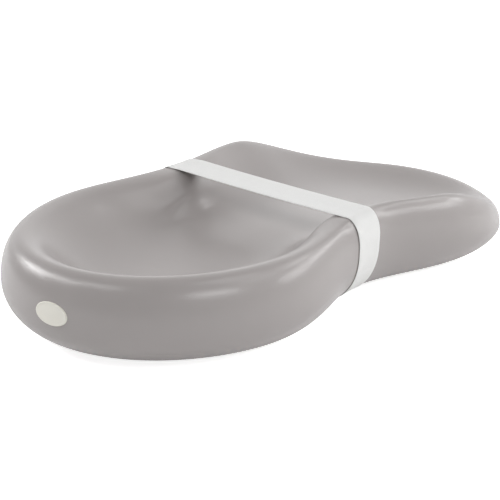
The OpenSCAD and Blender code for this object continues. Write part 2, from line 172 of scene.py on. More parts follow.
def lobe_half_width():
    """Largest lobe half width whose plan stays inside the pad's width, outside the waist."""
    x = HALF_L * (np.arange(1, 2 * PLAN_STEPS) / PLAN_STEPS - 1)
    x = x[pinch(x) < WAIST_CORE]
    c, p = end_curve(x), pinch(x)
    return np.min((PAD_W / 2 - c * p * WAIST_W / 2) / (c * (1 - p)))


LOBE_HALF = lobe_half_width()


def half_width(x):
    """Half width of the widest line: the end curve times a mix of the lobes' and the waist's."""
    return end_curve(x) * (LOBE_HALF * (1 - pinch(x)) + WAIST_W / 2 * pinch(x))


def head_round(x):
    """Share of the head's soft round: a smooth step from beside the strap towards the head end."""
    return ease((ROUND_X - x) / ROUND_REACH)


def sag(x):
    """Sag of the rim's inner half: its depth times a smooth step from the strap's side and one
    from the head's."""
    return SAG * ease((SAG_X - x) / SAG_REACH) * ease((x - SAG_HEAD_X) / SAG_HEAD_REACH)


def foot_round(x):
    """Share of the foot's soft round: a smooth step from past the waist towards the foot end."""
    return ease((x - FOOT_ROUND_X) / FOOT_ROUND_REACH)


def plain_rim(x):
    """Height of the rim: the head's, plus a bell beside the waist, less the fall to the foot."""
    return HEAD_RIM + HUMP_RISE * swell(x, HUMP_X, HUMP_REACH) - (HEAD_RIM - FOOT_RIM) * fall(x)


def rim_height(x):
    """Height of the rim with what the head's soft round, and the foot's along the fall, add to it."""
    return plain_rim(x) + ROUND_RISE * head_round(x) + FOOT_ROUND_RISE * fall(x)


def floor_height(x):
    """Height of the basin's floor: the head's, raised at the waist and lowered at the foot."""
    return (HEAD_FLOOR + (WAIST_FLOOR - HEAD_FLOOR) * pinch(x)
            - (HEAD_FLOOR - FOOT_FLOOR) * fall(x))


def belly_height(x):
    """Height of the wall's widest line, a share of the rim's: larger in a bell beside the waist,
    and smaller along the fall to the foot."""
    share = (BELLY_SHARE + (WAIST_BELLY_SHARE - BELLY_SHARE) * swell(x, BELLY_X, BELLY_REACH)
             + (FOOT_BELLY_SHARE - BELLY_SHARE) * fall(x))
    return share * plain_rim(x)


def shoulder_at(x):
    """Distance that the shoulder rounds in over the widest line: a mix of the lobes' and the
    waist's, and larger in the soft rounds of the two ends."""
    return (SHOULDER + (WAIST_SHOULDER - SHOULDER) * pinch(x) + ROUND_SHOULDER * head_round(x)
            + FOOT_ROUND_SHOULDER * foot_round(x))


def lip_at(x):
    """Distance of the basin's lip from the widest line: a smooth step from the head's to the
    foot's, and larger at the waist and in the soft rounds of the two ends."""
    step = ease((x - NARROW_X) / NARROW_L)
    return (LIP_IN + (FOOT_LIP_IN - LIP_IN) * step + WAIST_LIP_SHIFT * pinch(x)
            + ROUND_LIP * head_round(x) + FOOT_ROUND_LIP * foot_round(x))


def lip_drop(x, depth, run, past):
    """Drop into the basin at a distance past the lip: depth times 1 - (1 - r / run) to the
    steepness, where r is the distance past the lip, rounded off as soft ln(1 + e^(past / soft))."""
    soft = (LIP_SOFT + (WAIST_LIP_SOFT - LIP_SOFT) * pinch(x) + ROUND_SOFT * head_round(x)
            + FOOT_ROUND_SOFT * foot_round(x))
    steep = LOBE_STEEP + (WAIST_STEEP - LOBE_STEEP) * pinch(x)
    rounded = soft * np.logaddexp(0, past / soft)
    return depth * (1 - np.maximum(0, 1 - rounded / run) ** steep)


def outline(turn):
    """Point of the widest line by its turn, from the head end along the near side and back."""
    a = turn + STATION_EASE * np.sin(2 * turn)
    x = -HALF_L * np.cos(a)
    return np.stack([x, -np.sign(np.sin(a)) * half_width(x)], -1)


def inward(turn):
    """Unit normal of the widest line into the pad: its tangent turned a quarter to the left."""
    step = math.radians(0.5)
    d = outline(turn + step) - outline(turn - step)
    n = np.stack([-d[..., 1], d[..., 0]], -1)
    return n / np.linalg.norm(n, axis=-1, keepdims=True)


def wall_point(turn, rise):
    """Point of the wall by its angle: under the widest line, which is at a quarter turn, a quarter
    ellipse of the tuck and the belly, and over it one of the shoulder and the rim."""
    o = outline(turn)
    x = o[..., 0]
    low, high = np.minimum(rise, np.pi / 2), np.maximum(rise - np.pi / 2, 0)
    over = shoulder_at(x) * (1 - np.cos(high))
    d = TUCK * (1 - np.sin(low)) + over
    z = (BASE_PROUD + (belly_height(x) - BASE_PROUD) * (1 - np.cos(low))
         + (rim_height(x) - belly_height(x)) * np.sin(high))
    return np.concatenate([o + d[..., None] * inward(turn), z[..., None]], -1)


def wall_rise(turn, z):
    """Angle of the wall at a height, the reverse of wall_point's height."""
    x = outline(turn)[..., 0]
    belly = belly_height(x)
    low = np.clip((z - BASE_PROUD) / (belly - BASE_PROUD), 0, 1)
    high = np.clip((z - belly) / (rim_height(x) - belly), 0, 1)
    return np.arccos(1 - low) + np.arcsin(high)


def basin_path(turn):
    """Each station's path in plan from the crown to the middle line, a cubic that leaves along the
    wall's normal, and the way gone along it."""
    o, n = outline(turn), inward(turn)
    x = o[:, 0]
    crown = o + shoulder_at(x)[:, None] * n
    spine = np.stack([SPINE_SHARE * (x + lip_at(x) * n[:, 0]), 0 * x], -1)
    chord = np.linalg.norm(spine - crown, axis=1)[:, None]
    u = np.linspace(0, 1, BASIN_STEPS)[:, None, None] ** BASIN_CROWDING
    path = ((2 * u**3 - 3 * u**2 + 1) * crown + (u**3 - 2 * u**2 + u) * chord * n
            + (3 * u**2 - 2 * u**3) * spine + (u**3 - u**2) * (spine - crown))
    steps = np.linalg.norm(np.diff(path, axis=0), axis=-1)
    return path, np.concatenate([0 * steps[:1], np.cumsum(steps, axis=0)])


def skin_rings():
    """Rings of the pad's surface from its lowest edge up the wall, over the rim and down the
    basin to its middle line. Under the widest line the section is a quarter ellipse of the tuck,
    over it one of the shoulder. Along the basin's path the height follows the lip's drop from the
    rim, less the sag, which grows as 1 less a bell of the way gone."""
    turn = np.linspace(0, 2 * np.pi, STATIONS, endpoint=False)
    o, n = outline(turn), inward(turn)
    x = o[:, 0]
    rim, belly, lip, shoulder = rim_height(x), belly_height(x), lip_at(x), shoulder_at(x)
    low = np.linspace(0, np.pi / 2, UNDER_STEPS)[:, None] + 0 * turn
    under = wall_point(turn + 0 * low, low)

    path, gone = basin_path(turn)
    past = gone - (lip - shoulder)
    run = past[-1]
    brow = rim - sag(x) * (1 - swell(gone, 0.0, lip - shoulder))
    basin_z = brow - lip_drop(x, brow - floor_height(path[..., 0]), run, past)
    basin_z = basin_z + waist_roll(path[..., 0], path[..., 1])
    basin = np.concatenate([path, basin_z[..., None]], -1)

    high = np.linspace(0, np.pi / 2, OVER_STEPS + 1)[1:-1, None]
    d = shoulder * (1 - np.cos(high))
    p = o + d[..., None] * n
    z = (belly + (rim - belly) * np.sin(high)
         - lip_drop(x, rim - floor_height(p[..., 0]), run, d - lip))
    over = np.concatenate([p, z[..., None]], -1)
    rings = np.concatenate([under, over, basin])
    angle = np.concatenate([np.zeros((len(under), 1)), high, np.full((len(basin), 1), np.pi / 2)])
    lift = near_stand(angle, FLAP_LIFT.mean()) * (rings[..., 1] < 0)
    fade = 1 - ease(gone / PRESS_FADE)
    return pressed(rings, np.concatenate([np.ones((len(under) + len(over), STATIONS)), fade]), lift)


def waist_roll(x, y):
    """Rise of the basin's far wall beside the waist, a soft roll of the foam where the strap's
    closed end draws it in: a bell along the pad times one across it."""
    return ROLL_RISE * swell(x, ROLL_X, ROLL_LENGTH) * swell(y, ROLL_Y, ROLL_WIDTH)


def near_stand(b, lift):
    """Distance that the near run stands off the shoulder by its angle b: the flap's lift, eased
    in over the first half of the angle, and the near stand times sin 2b."""
    return lift * ease(b / (math.pi / 4)) + NEAR_STAND * np.sin(2 * b)


def pressed(rings, faded, lift):
    """The rings with a shallow flat bed under the strap, where the webbing bites into the foam:
    moved along the surface's normal by a share of the run's lift less the press, times e to minus
    the eighth power of the distance from the strap's middle line, times the share that fades out
    past the rim. The lift has a wider bell, as the foam swells beside the webbing."""
    normal = unit(np.cross(np.roll(rings, -1, 1) - np.roll(rings, 1, 1), np.gradient(rings, axis=0)))
    away = (rings[..., 0] - STRAP_X - slant(rings[..., 1], rings[..., 2])) / (STRAP_W / 2)
    bed = np.exp(-(away * STRAP_W / (STRAP_W + 2 * PRESS_EDGE)) ** 8)
    swollen = np.exp(-(away / SWELL_REACH) ** 4)
    move = LIFT_SHARE * lift * swollen - STRAP_PRESS * bed
    return rings + (move * faded)[..., None] * normal


def unit(v):
    """Vectors of length 1 along v."""
    return v / np.maximum(np.linalg.norm(v, axis=-1, keepdims=True), 1e-9)


def ring_faces(low, high):
    """Quads between two closed rows of point numbers, facing out where the rows climb."""
    return np.stack([low, np.roll(low, -1), np.roll(high, -1), high], -1)


def add_piece(name, points, faces, material, uv=None, sharp=None):
    """A mesh object from points in millimetres and lists of point numbers, smooth shaded."""
    mesh = bpy.data.meshes.new(name)
    mesh.from_pydata((np.asarray(points) * MM).tolist(), [], [list(map(int, f)) for f in faces])
    mesh.polygons.foreach_set("use_smooth", np.ones(len(mesh.polygons), bool))
    if sharp:
        mesh.set_sharp_from_angle(angle=math.radians(sharp))
    if uv is not None:
        corner = np.zeros(len(mesh.loops), np.int32)
        mesh.loops.foreach_get("vertex_index", corner)
        layer = mesh.uv_layers.new(name="flat")
        layer.data.foreach_set("uv", (uv[corner] * MM).astype(np.float32).ravel())
    mesh.validate()
    mesh.update()
    piece = bpy.data.objects.new(name, mesh)
    bpy.context.scene.collection.objects.link(piece)
    mesh.materials.append(material)
    return piece


def make_pad_skin(material):
    """The moulded pad: the surface's rings, closed along the basin's middle line, and underneath
    by a straight edge as thick as the skin and a flat that lies on the base."""
    rings = skin_rings()
    count = len(rings)
    edge = rings[0].copy()
    edge[:, 2] += SKIN_T + BASE_GAP
    half = STATIONS // 2
    spine, keel = rings[-1, :half + 1], edge[:half + 1] * (1, 0, 1)
    points = np.concatenate([rings[:-1].reshape(-1, 3), spine, edge, keel])
    fold = np.minimum(np.arange(STATIONS), STATIONS - np.arange(STATIONS))
    row = [np.arange(STATIONS) + k * STATIONS for k in range(count - 1)]
    spine_row = (count - 1) * STATIONS + fold
    edge_row = (count - 1) * STATIONS + half + 1 + np.arange(STATIONS)
    keel_row = edge_row[-1] + 1 + fold
    faces = [ring_faces(a, b) for a, b in zip(row, row[1:] + [spine_row])]
    faces += [ring_faces(edge_row, row[0]), ring_faces(keel_row, edge_row)]
    faces = [list(dict.fromkeys(f)) for f in np.concatenate(faces).tolist()]
    return add_piece("pad_skin", points, faces, material, sharp=SKIN_SHARP)


def slope(x):
    """Slope of the widest line's plan, as a difference over one millimetre."""
    return half_width(x + 0.5) - half_width(x - 0.5)


def section_half(x, d):
    """Half width of the line that lies a distance inside the widest line."""
    x0 = x - d * slope(x) / np.sqrt(1 + slope(x) ** 2)
    return half_width(x0) - d / np.sqrt(1 + slope(x0) ** 2)


def under_wall(x, a, off):
    """[half, z] at a distance off the wall under its widest line, by the ellipse's angle."""
    m = belly_height(x) - BASE_PROUD
    at = np.stack([section_half(x, TUCK * (1 - np.sin(a))), BASE_PROUD + m * (1 - np.cos(a))], -1)
    return at + np.asarray(off)[..., None] * unit(np.stack([m * np.sin(a), -TUCK * np.cos(a) + 0 * x], -1))


def over_wall(x, a, off):
    """[half, z] at a distance off the shoulder, by the ellipse's angle, 90 degrees at the crown."""
    d = shoulder_at(x) * (1 - np.cos(a))
    r = rim_height(x) - belly_height(x)
    loss = lip_drop(x, rim_height(x) - floor_height(x), section_half(x, lip_at(x)), d - lip_at(x))
    at = np.stack([section_half(x, d), belly_height(x) + r * np.sin(a) - loss], -1)
    return at + np.asarray(off)[..., None] * unit(np.stack([r * np.cos(a), shoulder_at(x) * np.sin(a)], -1))


# Places along the pad of the strap's two edges, a quarter turn, distances from the pad's middle line
# of the folds, the clamps and the webbing's cut ends, and the crown's height
EDGES = np.array([[STRAP_X - STRAP_W / 2], [STRAP_X + STRAP_W / 2]])
QUARTER = math.pi / 2
FOLD_HALF = float(section_half(EDGES, shoulder_at(EDGES)).min()) - FOLD_INSET
ANCHOR_Y = float(section_half(STRAP_X, TUCK)) - ANCHOR_EDGE - ANCHOR_W / 2
STRAP_END = ANCHOR_Y - ANCHOR_W / 2 - ANCHOR_EDGE / 2
CROWN_Z = float(rim_height(STRAP_X))


def slant(y, z):
    """Distance that the strap's line moves along the pad: grows evenly across the pad from the
    near fold to the far one, and goes back with the height down the far wall."""
    return SLANT * np.clip((1 + y / FOLD_HALF) / 2, 0, 1) * np.clip(z / CROWN_Z, 0, 1)


def spaced(points):
    """Drops rows that repeat the row before."""
    keep = np.r_[True, np.linalg.norm(np.diff(points[0], axis=0), axis=1) > 1e-6]
    return points[:, keep]


def foot_rows():
    """The webbing's clamped end: level, from its cut end in the base out to the wall's foot."""
    foot = under_wall(EDGES, 0 * EDGES, WEBBING_OFF + 0 * EDGES)
    share = np.linspace(0, 1, FOOT_ROWS)[None, :, None]
    end = np.concatenate([0 * foot[..., :1] + STRAP_END, foot[..., 1:]], -1)
    return end + share * (foot - end)


def wall_rows(off, low=0.0, top=QUARTER, loose=0.0, side=-1):
    """Rows up the wall from an angle under the widest line to one over it, at a distance off. A
    loose run stands further off over the shoulder, by the near stand."""
    a = np.linspace(low, QUARTER, LOW_ROWS)[None]
    b = np.linspace(0, top, HIGH_ROWS)[None, 1:]
    stand = loose * near_stand(b, FLAP_LIFT)
    return up_wall(a, off + 0 * a, b, off + stand, side)


def up_wall(a, low_off, b, high_off, side):
    """Rows under the widest line by angle a, then over it by angle b, along the strap's line."""
    under, over = under_wall(EDGES, a, low_off), over_wall(EDGES, b, high_off)
    move = [slant(side * rows[..., 0], rows[..., 1]) for rows in (under, over)]
    return np.concatenate([under_wall(EDGES + move[0], a, low_off),
                           over_wall(EDGES + move[1], b, high_off)], 1)


def flap_rows(start, end):
    """Level rows across the basin between two distances from the middle, with the flap's lift off
    the crowns and a slight sag that grows as 1 - (half / fold) squared towards the middle."""
    away = np.concatenate([np.linspace(0, FOLD_ZONE, FOLD_ROWS),
                           np.linspace(FOLD_ZONE, abs(start - end), SPAN_ROWS)[1:]])
    half = (start + np.sign(end - start) * away)[None, :] + 0 * EDGES
    crown = over_wall(EDGES + slant(-half, CROWN_Z), QUARTER + 0 * half, WEBBING_OFF + 0 * half)
    z = crown[..., 1] - FLAP_SAG * (1 - np.minimum(1, (half / FOLD_HALF) ** 2))
    return np.stack([half, z + flap_lift(half)], -1)


def flap_lift(half):
    """Lift of the flap off the crowns: its own, plus an arch that grows as the fourth power of
    the share of the way across, easing down to the far crown's at the end."""
    share = far_share(half)
    end = ease((share - FAR_EASE) / (1 - FAR_EASE))
    return (FLAP_LIFT + FAR_ARCH * share ** 4) * (1 - end) + FAR_REST * end


def far_share(half):
    """Share of the way across the basin from the near rim's crown, 0, to the far one's, 1."""
    return (1 - half / FOLD_HALF) / 2


def row_frame(rows):
    """Unit normals of the rows, square to the way along them, and that way along their middle."""
    tangent = unit(np.gradient(rows, axis=1))
    normal = np.stack([tangent[..., 1], -tangent[..., 0]], -1)
    return normal, np.r_[0, np.cumsum(np.linalg.norm(np.diff(rows.mean(0), axis=0), axis=1))]


def strip_piece(name, rows, thick, material, side=-1, trim=0.0):
    """A band of cloth on [half, z] rows of its inner face at its two edges: a flat section with
    round selvages carried along the rows, straight across, its thickness along the rows' normal
    and its middle bowed in. side is -1 for rows on the near side and +1 for the far side; trim is
    the distance that the band's edges lie inside the webbing's."""
    rows = spaced(rows)
    normal, along = row_frame(rows)
    flat = np.linspace(SELVAGE_R, STRAP_W - trim * 2 - SELVAGE_R, WEBBING_COLUMNS)
    bend = np.linspace(0, np.pi, SELVAGE_STEPS)[1:-1]
    across = np.concatenate([flat, flat[-1] + SELVAGE_R * np.sin(bend),
                             flat[::-1], flat[0] - SELVAGE_R * np.sin(bend)]) + trim
    low, high = 0 * flat, thick + 0 * flat
    up = np.concatenate([high, thick * (1 + np.cos(bend)) / 2, low, thick * (1 - np.cos(bend)) / 2])
    share = across[:, None] / STRAP_W

    def mix(v):
        """Values across the band, between those of its two edges."""
        return v[0][:, None] * (1 - share) + v[1][:, None] * share

    section = mix(rows) + (up[:, None] - WEBBING_BOW * np.sin(np.pi * share)) * unit(mix(normal))
    k, m = section.shape[:2]
    x = EDGES[0, 0] + across + slant(side * section[..., 0], section[..., 1])
    points = np.stack([x, side * section[..., 0], section[..., 1]], -1).reshape(-1, 3)
    uv = np.stack([np.broadcast_to(across, (k, m)), np.broadcast_to(along[:, None], (k, m))], -1)
    ring = [np.arange(m) + i * m for i in range(k)]
    faces = np.concatenate([ring_faces(a, b) for a, b in zip(ring, ring[1:])]).tolist()
    faces += [ring[0][::-1].tolist(), ring[-1].tolist()]
    if side > 0:
        faces = [f[::-1] for f in faces]
    piece = add_piece(name, points, faces, material, uv.reshape(-1, 2), sharp=WEBBING_SHARP)
    return piece, float(along[-1])


def drop_angle(drop):
    """Angle under the widest line at a drop below the crown, on the strap's middle line."""
    rise = rim_height(STRAP_X) - belly_height(STRAP_X)
    return math.acos((drop - rise) / (belly_height(STRAP_X) - BASE_PROUD))


# Drop of the patches' top below the crown, angles of the patches' and the tab's lower ends, and
# distances off the wall of the loop patch, the hook patch and the tab
PATCH_TOP_DROP = (rim_height(STRAP_X) - belly_height(STRAP_X)) * (1 - math.sin(PATCH_TOP))
PATCH_LOW = drop_angle(PATCH_TOP_DROP + PATCH_L)
TAB_LOW = drop_angle(PATCH_TOP_DROP + PATCH_L + TAB_TAIL)
LOOP_OFF = WEBBING_OFF + WEBBING_T + LAYER_GAP
HOOK_OFF = LOOP_OFF + PATCH_T + PRESS_GAP
TAB_OFF = HOOK_OFF + PATCH_T + LAYER_GAP


def tab_rows():
    """The tab from its free end up the far wall, off it by the patches, easing onto the rim's
    crown, and on over the flap's end by the lap."""
    a = np.linspace(TAB_LOW, QUARTER, TAB_LOW_ROWS)[None]
    b = np.linspace(0, QUARTER, HIGH_ROWS)[None, 1:]
    past = np.degrees(QUARTER - b)
    off = (WEBBING_OFF + FAR_REST * (1 - ease(past / CROWN_EASE))
           + (TAB_OFF - WEBBING_OFF) * ease((past - PATCH_EASE_START) / PATCH_EASE))
    top = flap_rows(-FOLD_HALF, -FOLD_HALF + TAB_LAP) * (-1, 1)
    return np.concatenate([up_wall(a, TAB_OFF + 0 * a, b, off, 1), top], 1)


def stitch_box(name, off, face, material):
    """A sewn box on the far wall, a margin inside a patch's edges: stitches laid end to end on a
    face at a distance off, outer +1 or inner -1. Each is a tube whose radius is the fourth root of
    1 - (2s - 1) to the eighth and whose middle arches as the root of sin(pi s), by its share s."""
    rows = spaced(wall_rows(off, PATCH_LOW, PATCH_TOP, side=1))
    normal, along = row_frame(rows)
    low = np.array([PATCH_TRIM + SEWN_IN, SEWN_IN])
    high = np.array([STRAP_W, along[-1]]) - low
    corner = np.array([low, (high[0], low[1]), high, (low[0], high[1])])
    starts, ends = [], []
    for a, b in zip(corner, np.roll(corner, -1, 0)):
        count = round(np.linalg.norm(b - a) / (STITCH_L + STITCH_GAP))
        share = np.arange(count)[:, None] / count
        starts.append(a + (b - a) * share)
        ends.append(starts[-1] + (b - a) / count * STITCH_L / (STITCH_L + STITCH_GAP))

    def on_face(at):
        """Place, and the way out of the face, at distances across and along the webbing."""
        share = at[..., :1] / STRAP_W

        def pick(v):
            """Values between those of the two edges, by the way along and the share across."""
            return sum(w * np.stack([np.interp(at[..., 1], along, v[e, :, c]) for c in (0, 1)], -1)
                       for e, w in ((0, 1 - share), (1, share)))

        out = unit(pick(normal))
        half_z = pick(rows) - WEBBING_BOW * np.sin(np.pi * share) * out
        x = EDGES[0, 0] + at[..., :1] + slant(half_z[..., :1], half_z[..., 1:])
        place = np.concatenate([x, half_z], -1)
        return place, face * np.concatenate([0 * share, out], -1)

    s = np.linspace(0, 1, STITCH_STEPS)[None, :, None]
    middle, out = on_face(np.concatenate(starts)[:, None] * (1 - s) + np.concatenate(ends)[:, None] * s)
    run = unit(np.gradient(middle, axis=1))
    turn = np.linspace(0, 2 * np.pi, STITCH_SIDES, endpoint=False)[:, None]
    radius = THREAD_R * np.maximum(STITCH_TIP, 1 - (2 * s - 1) ** 8) ** 0.25
    height = THREAD_R * (STITCH_ARCH * np.sin(np.pi * s) ** 0.5 - STITCH_SINK)
    points = ((middle + height * out)[:, :, None] + radius[..., None]
              * (np.cos(turn) * out[:, :, None] + np.sin(turn) * np.cross(run, out)[:, :, None]))
    count, steps, sides = points.shape[:3]
    index = np.arange(count * steps * sides).reshape(count, steps, sides)
    tube = [ring_faces(a, b) for piece in index for a, b in zip(piece, piece[1:])]
    faces = np.concatenate(tube).tolist() + index[:, 0, ::-1].tolist() + index[:, -1].tolist()
    return add_piece(name, points.reshape(-1, 3), faces, material)


def feed(tree, socket, value):
    """Sets a node's input to a value, or links it to another node's output."""
    if isinstance(value, bpy.types.NodeSocket):
        tree.links.new(value, socket)
    else:
        socket.default_value = value


def node(tree, kind, inputs=None, **values):
    """A shader node with its settings, and its inputs set to values or linked to sockets."""
    made = tree.nodes.new(kind)
    for key, value in values.items():
        setattr(made, key, value)
    for key, value in (inputs or {}).items():
        feed(tree, made.inputs[key], value)
    return made


def group(name, takes, gives):
    """A shader node group with float, vector or colour sockets, and its inner ends."""
    kinds = {"f": "NodeSocketFloat", "v": "NodeSocketVector", "c": "NodeSocketColor"}
    tree = bpy.data.node_groups.new(name, "ShaderNodeTree")
    for way, sockets in (("INPUT", takes), ("OUTPUT", gives)):
        for socket, kind in sockets.items():
            tree.interface.new_socket(socket, in_out=way, socket_type=kinds[kind])
    return tree, tree.nodes.new("NodeGroupInput"), tree.nodes.new("NodeGroupOutput")


def tone_drift_group():
    """Slow change of tone over a surface: cloudy noise that lightens and darkens a colour."""
    tree, start, end = group("tone_drift", {"Vector": "v", "Color": "c", "Scale": "f", "Amount": "f"},
                             {"Color": "c", "Mask": "f"})
    cloud = node(tree, "ShaderNodeTexNoise", {"Vector": start.outputs["Vector"],
                 "Scale": start.outputs["Scale"], "Detail": 3.0, "Roughness": 0.55})
    spread = node(tree, "ShaderNodeMath", {0: cloud.outputs["Fac"], 1: 0.5}, operation="SUBTRACT")
    scaled = node(tree, "ShaderNodeMath", {0: spread.outputs[0], 1: start.outputs["Amount"]},
                  operation="MULTIPLY")
    level = node(tree, "ShaderNodeMath", {0: scaled.outputs[0], 1: 1.0}, operation="ADD")
    tint = node(tree, "ShaderNodeVectorMath", {0: start.outputs["Color"], "Scale": level.outputs[0]},
                operation="SCALE")
    tree.links.new(tint.outputs[0], end.inputs["Color"])
    tree.links.new(cloud.outputs["Fac"], end.inputs["Mask"])
    return tree


def pebble_group():
    """Fine moulded grain: small rounded cells over a softer, wider ripple, as one height."""
    tree, start, end = group("pebble_grain", {"Vector": "v", "Scale": "f", "Ripple": "f"},
                             {"Height": "f"})
    cells = node(tree, "ShaderNodeTexVoronoi", {"Vector": start.outputs["Vector"],
                 "Scale": start.outputs["Scale"], "Smoothness": 0.6}, feature="SMOOTH_F1")
    ripple = node(tree, "ShaderNodeTexNoise", {"Vector": start.outputs["Vector"], "Scale": 95.0,
                  "Detail": 2.0})
    wide = node(tree, "ShaderNodeMath", {0: ripple.outputs["Fac"], 1: start.outputs["Ripple"]},
                operation="MULTIPLY")
    total = node(tree, "ShaderNodeMath", {0: cells.outputs["Distance"], 1: wide.outputs[0]},
                 operation="ADD")
    tree.links.new(total.outputs[0], end.inputs["Height"])
    return tree


# Height of the yarn's fuzz as a share of the weave's
FUZZ = 0.35


def weave_group():
    """Flat weave on the cloth's own flat map: rounded warp ribs along it, each crossed by weft
    that goes over and under, as the product of two waves of given pitch, with a little fuzz."""
    tree, start, end = group("flat_weave", {"Vector": "v", "Warp": "f", "Weft": "f"},
                             {"Height": "f", "Mask": "f"})
    part = node(tree, "ShaderNodeSeparateXYZ", {"Vector": start.outputs["Vector"]})

    def wave(value, pitch):
        """Sine wave of a pitch over a value."""
        turns = node(tree, "ShaderNodeMath", {0: value, 1: pitch}, operation="DIVIDE")
        angle = node(tree, "ShaderNodeMath", {0: turns.outputs[0], 1: 2 * math.pi},
                     operation="MULTIPLY")
        return node(tree, "ShaderNodeMath", {0: angle.outputs[0]}, operation="SINE").outputs[0]

    warp = wave(part.outputs["X"], start.outputs["Warp"])
    weft = wave(part.outputs["Y"], start.outputs["Weft"])
    cross = node(tree, "ShaderNodeMath", {0: warp, 1: weft}, operation="MULTIPLY")
    mask = node(tree, "ShaderNodeMath", {0: cross.outputs[0], 1: 0.5, 2: 0.5},
                operation="MULTIPLY_ADD")
    fuzz = node(tree, "ShaderNodeTexNoise", {"Vector": start.outputs["Vector"], "Scale": 2600.0,
                "Detail": 2.0})
    height = node(tree, "ShaderNodeMath", {0: fuzz.outputs["Fac"], 1: FUZZ, 2: mask.outputs[0]},
                  operation="MULTIPLY_ADD")
    tree.links.new(height.outputs[0], end.inputs["Height"])
    tree.links.new(mask.outputs[0], end.inputs["Mask"])
    return tree


TONE_DRIFT, PEBBLE, WEAVE = tone_drift_group(), pebble_group(), weave_group()


class Finish:
    """One material: its tree, its Principled shader and its coordinates."""

    def __init__(self, name, coordinates="Object", **sockets):
        """A named material on Object or UV coordinates, with plain values of its sockets."""
        self.material = bpy.data.materials.new(name)
        self.material.use_nodes = True
        self.tree = self.material.node_tree
        self.shader = self.tree.nodes["Principled BSDF"]
        self.place = node(self.tree, "ShaderNodeTexCoord").outputs[coordinates]
        for key, value in sockets.items():
            self.set(key.replace("_", " "), value)

    def set(self, socket, value):
        """Sets or links one of the shader's inputs."""
        feed(self.tree, self.shader.inputs[socket], value)

    def use(self, tree, **inputs):
        """Outputs of a node group placed in the material with its own values."""
        return node(self.tree, "ShaderNodeGroup", {"Vector": self.place, **inputs}, node_tree=tree).outputs

    def drift(self, colour, scale, amount):
        """Base colour with a slow drift of tone; gives the drift's mask."""
        made = self.use(TONE_DRIFT, Color=colour, Scale=scale, Amount=amount)
        self.set("Base Color", made["Color"])
        return made["Mask"]

    def noise(self, scale, detail=2.0, stretch=(1, 1, 1)):
        """Cloudy noise, stretched along the axes."""
        turned = node(self.tree, "ShaderNodeMapping", {"Vector": self.place, "Scale": stretch})
        made = node(self.tree, "ShaderNodeTexNoise", {"Vector": turned.outputs[0], "Scale": scale,
                    "Detail": detail})
        return made.outputs["Fac"]

    def span(self, value, low, high):
        """A value of 0 to 1 spread from low to high."""
        return node(self.tree, "ShaderNodeMapRange", {"Value": value, "To Min": low,
                    "To Max": high}).outputs[0]

    def blend(self, share, a, b):
        """Colour between two, by a share. The mix node's colours are its sockets 6, 7 and 2."""
        return node(self.tree, "ShaderNodeMix", {0: share, 6: a, 7: b}, data_type="RGBA").outputs[2]

    def bump(self, height, depth):
        """Fine relief from a height, of a depth in metres."""
        made = node(self.tree, "ShaderNodeBump", {"Height": height, "Distance": depth, "Strength": 1.0})
        self.set("Normal", made.outputs[0])


def satin_skin():
    """Warm grey moulded skin: satin, a fine pebble, and a slow drift of tone and gloss."""
    f = Finish("satin_skin", IOR=1.45)
    mask = f.drift((0.376, 0.351, 0.345, 1), scale=9.0, amount=0.06)
    f.set("Roughness", f.span(mask, low=0.21, high=0.28))
    f.bump(f.use(PEBBLE, Scale=900.0, Ripple=0.8)["Height"], depth=0.00006)
    return f.material


# White of the yarn and the sewing thread, in the gaps and on the threads; on the webbing the greyer one is
# painted shade in the weave's gaps
THREAD_TONES = (0.70, 0.70, 0.69, 1), (0.86, 0.86, 0.85, 1)


def webbing_white():
    """White flat-woven webbing: fine crossing threads, with painted shade that greys the gaps between them.
    """
    f = Finish("webbing_white", "UV", Roughness=0.82, Sheen_Weight=0.25, Sheen_Roughness=0.5)
    weave = f.use(WEAVE, Warp=0.0011, Weft=0.0014)
    # Painted shade: where the weave's height is low, in its gaps, the colour takes the greyer tone
    thread = f.blend(weave["Mask"], *THREAD_TONES)
    f.drift(thread, scale=60.0, amount=0.05)
    f.bump(weave["Height"], depth=0.00018)
    return f.material


def patch_finish(name, scale, depth, gap_shade, light):
    """Hook or loop tape: a dense pile of small tufts, with painted shade that darkens the gaps between
    them.
    """
    f = Finish(name, "UV", Roughness=0.9, Sheen_Weight=0.3)
    tuft = node(f.tree, "ShaderNodeTexVoronoi", {"Vector": f.place, "Scale": scale})
    # Painted shade: the tufts' colour darkens from their middles out to the low gaps between them
    f.set("Base Color", f.blend(tuft.outputs["Distance"], light, gap_shade))
    f.bump(tuft.outputs["Distance"], depth=-depth)
    return f.material


def base_rubber():
    """Dark matt rubber: a coarse grain, with dusty patches of paler tone."""
    f = Finish("base_rubber", IOR=1.5)
    mask = f.drift((0.075, 0.075, 0.078, 1), scale=14.0, amount=0.5)
    f.set("Roughness", f.span(mask, low=0.7, high=0.9))
    f.bump(f.use(PEBBLE, Scale=420.0, Ripple=1.5)["Height"], depth=0.0003)
    return f.material


def zinc_plate():
    """Zinc-plated steel: cloudy gloss and fine scratches along the pad."""
    f = Finish("zinc_plate", Metallic=1.0)
    f.drift((0.62, 0.63, 0.65, 1), scale=60.0, amount=0.25)
    f.set("Roughness", f.span(f.noise(300.0, stretch=(0.1, 1, 1)), low=0.28, high=0.5))
    return f.material


def birch_board():
    """Raw birch board: long grain and small darker flecks."""
    f = Finish("birch_board", Roughness=0.7)
    grain = f.noise(160.0, detail=4.0, stretch=(0.06, 1, 1))
    f.set("Base Color", f.blend(grain, (0.50, 0.36, 0.20, 1), (0.70, 0.55, 0.35, 1)))
    f.bump(grain, depth=0.0002)
    return f.material


def badge_cream():
    """Cream satin badge, bare: a faint grain and a slow drift of tone."""
    f = Finish("badge_cream", Roughness=0.38, IOR=1.48)
    f.drift((0.80, 0.78, 0.71, 1), scale=40.0, amount=0.06)
    f.bump(f.use(PEBBLE, Scale=1500.0, Ripple=0.5)["Height"], depth=0.00003)
    return f.material


